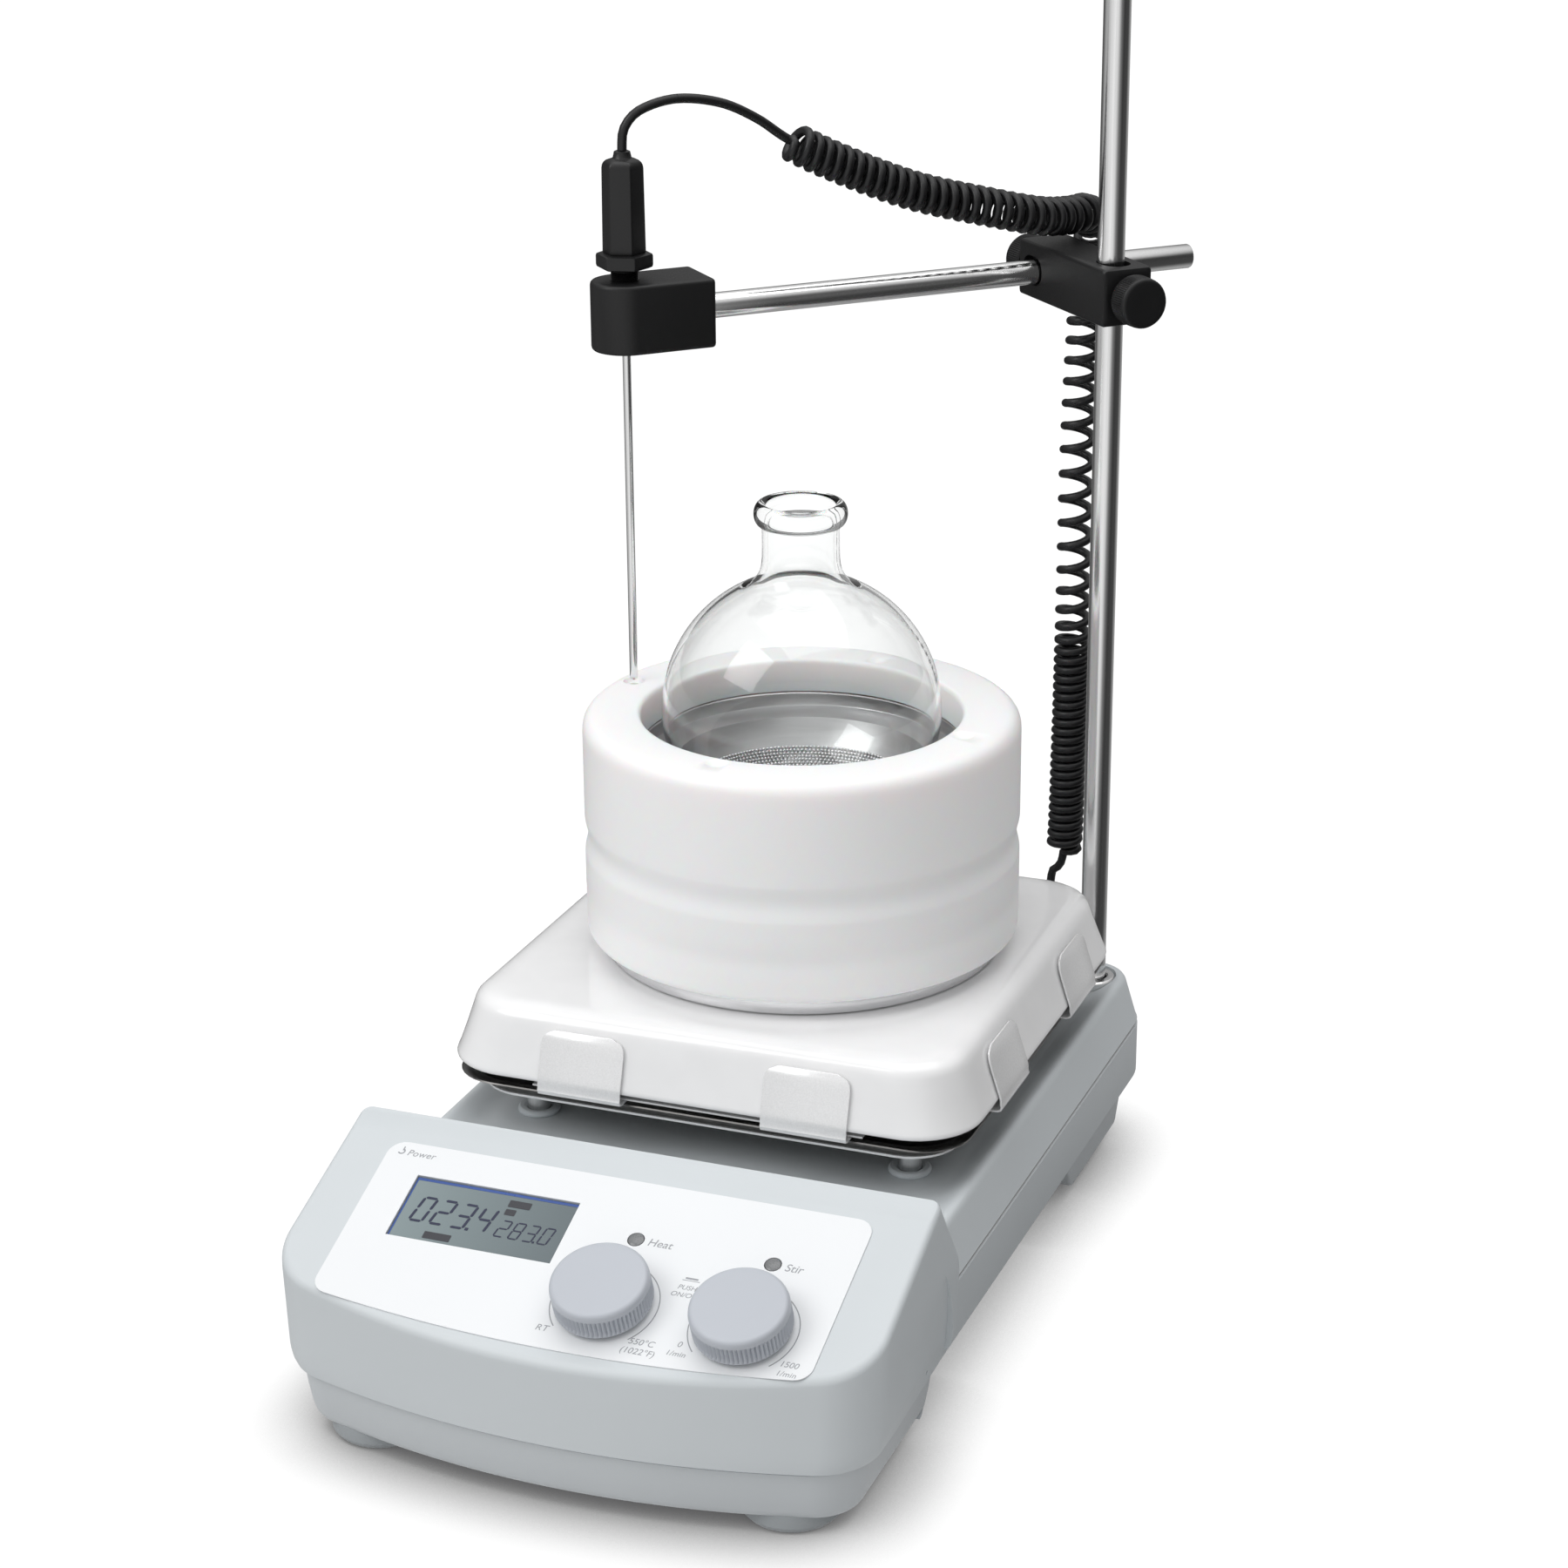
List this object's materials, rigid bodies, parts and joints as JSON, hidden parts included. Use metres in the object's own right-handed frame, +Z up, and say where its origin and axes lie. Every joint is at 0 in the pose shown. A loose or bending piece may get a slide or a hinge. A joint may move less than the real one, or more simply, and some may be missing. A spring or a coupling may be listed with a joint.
{
  "type": "magnetic stirrer",
  "caption": "Heating magnetic stirrer with a sloping control panel, a square ceramic hot plate, a flask carrier with a round flask, and a probe held by a rod and clamp.",
  "frame": {"origin": "middle of the footprint box at the bottom of the feet, measured without the probe's cord", "axes": "+Z up, -Y towards the user and the control panel, +X to the user's right"},
  "size_m": [0.2163, 0.4114, 0.5],
  "materials": {
    "shell_grey": "fine satin texture",
    "base_grey": "fine satin texture",
    "label_white": "semi-matt printed film",
    "lcd_glass": "glossy display window",
    "lamp_grey": "dark lamp lens",
    "knob_grey": "satin, ribbed skirt",
    "black_plastic": "satin black",
    "board_green": "solder resist",
    "ceramic_white": "glossy white glaze",
    "ptfe_white": "satin white",
    "steel": "drawn and polished",
    "dark_steel": "dark heat-tinted sheet",
    "aluminium": "turned",
    "magnet": "plated",
    "glass": "clear, polished",
    "cord_black": "satin cord sheath",
    "rubber": "matt"
  },
  "bodies": {
    "base": {"upper_housing": "shell_grey", "lower_housing": "base_grey", "foot_front_left": "rubber", "foot_front_right": "rubber", "foot_rear_left": "rubber", "foot_rear_right": "rubber", "control_panel_label": "label_white", "lcd_window": "lcd_glass", "lcd_module": "black_plastic", "heat_lamp": "lamp_grey", "stir_lamp": "lamp_grey", "heat_encoder": "black_plastic", "stir_encoder": "black_plastic", "control_pcb": "board_green", "power_pcb": "board_green", "mains_inlet": "black_plastic", "switch_frame": "black_plastic", "probe_socket": "black_plastic", "stirrer_motor": "steel", "motor_bracket": "dark_steel", "hot_plate": "ceramic_white", "heater": "dark_steel", "heat_shield": "dark_steel", "plate_clip_front": "steel", "plate_clip_right": "steel", "plate_clip_back": "steel", "plate_clip_left": "steel", "post_front_left": "steel", "post_front_right": "steel", "post_rear_left": "steel", "post_rear_right": "steel", "rod_bush": "steel", "cord_plug": "black_plastic", "cord_tail": "cord_black"},
    "heat_button": {"heat_shaft": "steel"},
    "heat_dial": {"heat_knob": "knob_grey"},
    "stir_button": {"stir_shaft": "steel"},
    "stir_dial": {"stir_knob": "knob_grey"},
    "rocker": {"power_rocker": "black_plastic"},
    "drive_magnet": {"motor_shaft": "steel", "magnet_yoke": "dark_steel", "magnet_north": "magnet", "magnet_south": "magnet"},
    "rod": {"support_rod": "steel", "cord_coil_lower": "cord_black"},
    "clamp": {"clamp_block": "black_plastic", "cord_coil_bend": "cord_black"},
    "rod_screw": {"rod_screw": "black_plastic"},
    "arm_screw": {"arm_screw": "black_plastic"},
    "arm": {"arm_rod": "steel", "cord_coil_upper": "cord_black"},
    "holder": {"probe_holder": "black_plastic", "cord_lead_rear": "cord_black"},
    "probe": {"probe_handle": "black_plastic", "probe_sheath": "steel", "cord_lead_front": "cord_black"},
    "carrier": {"carrier_core": "aluminium", "carrier_jacket": "ptfe_white"},
    "flask": {"flask": "glass"}
  },
  "joints": [
    {"name": "heat_press", "type": "slide", "parent": "base", "child": "heat_button", "axis": [0, 0.3616, -0.9323], "range_m": [0, 0.001], "stiffness_N_per_m": 1500, "springref_m": -0.0012},
    {"name": "heat_turn", "type": "hinge", "parent": "heat_button", "child": "heat_dial", "pos_m": [0.012, -0.17922, 0.07155], "axis": [0, -0.3616, 0.9323], "continuous": true},
    {"name": "stir_press", "type": "slide", "parent": "base", "child": "stir_button", "axis": [0, 0.3616, -0.9323], "range_m": [0, 0.001], "stiffness_N_per_m": 1500, "springref_m": -0.0012},
    {"name": "stir_turn", "type": "hinge", "parent": "stir_button", "child": "stir_dial", "pos_m": [0.0602, -0.17931, 0.07152], "axis": [0, -0.3616, 0.9323], "continuous": true},
    {"name": "power_rock", "type": "hinge", "parent": "base", "child": "rocker", "pos_m": [-0.025, 0.149, 0.038], "axis": [0, 0, 1], "range_deg": [0, 14]},
    {"name": "drive_spin", "type": "hinge", "parent": "base", "child": "drive_magnet", "pos_m": [0, 0.024, 0.08], "axis": [0, 0, 1], "continuous": true},
    {"name": "rod_turn", "type": "hinge", "parent": "base", "child": "rod", "pos_m": [0.085, 0.131, 0.06], "axis": [0, 0, -1], "range_deg": [-8, 75], "deforming": ["cord_tail"]},
    {"name": "clamp_slide", "type": "slide", "parent": "rod", "child": "clamp", "axis": [0, 0, -1], "range_m": [-0.08, 0.02], "deforming": ["cord_coil_lower", "cord_coil_bend"]},
    {"name": "rod_screw_turn", "type": "hinge", "parent": "clamp", "child": "rod_screw", "pos_m": [0.085, 0.131, 0.338], "axis": [0.7071, -0.7071, 0], "range_deg": [0, 350]},
    {"name": "arm_screw_turn", "type": "hinge", "parent": "clamp", "child": "arm_screw", "pos_m": [0.05672, 0.15928, 0.338], "axis": [-0.7071, 0.7071, 0], "range_deg": [0, 350]},
    {"name": "arm_slide", "type": "slide", "parent": "clamp", "child": "arm", "axis": [0.7071, 0.7071, 0], "range_m": [-0.02, 0.06], "deforming": ["cord_coil_upper"]},
    {"name": "holder_tilt", "type": "hinge", "parent": "arm", "child": "holder", "pos_m": [0.05672, 0.15928, 0.338], "axis": [0.7071, 0.7071, 0], "range_deg": [-4, 20], "deforming": ["cord_lead_rear"]},
    {"name": "probe_lift", "type": "slide", "parent": "holder", "child": "probe", "axis": [0, 0, 1], "range_m": [0, 0.05], "deforming": ["cord_lead_front"]},
    {"name": "carrier_lift", "type": "slide", "parent": "base", "child": "carrier", "axis": [0, 0, 1], "range_m": [0, 0.05]},
    {"name": "flask_lift", "type": "slide", "parent": "carrier", "child": "flask", "axis": [0, 0, 1], "range_m": [0, 0.1]}
  ]
}
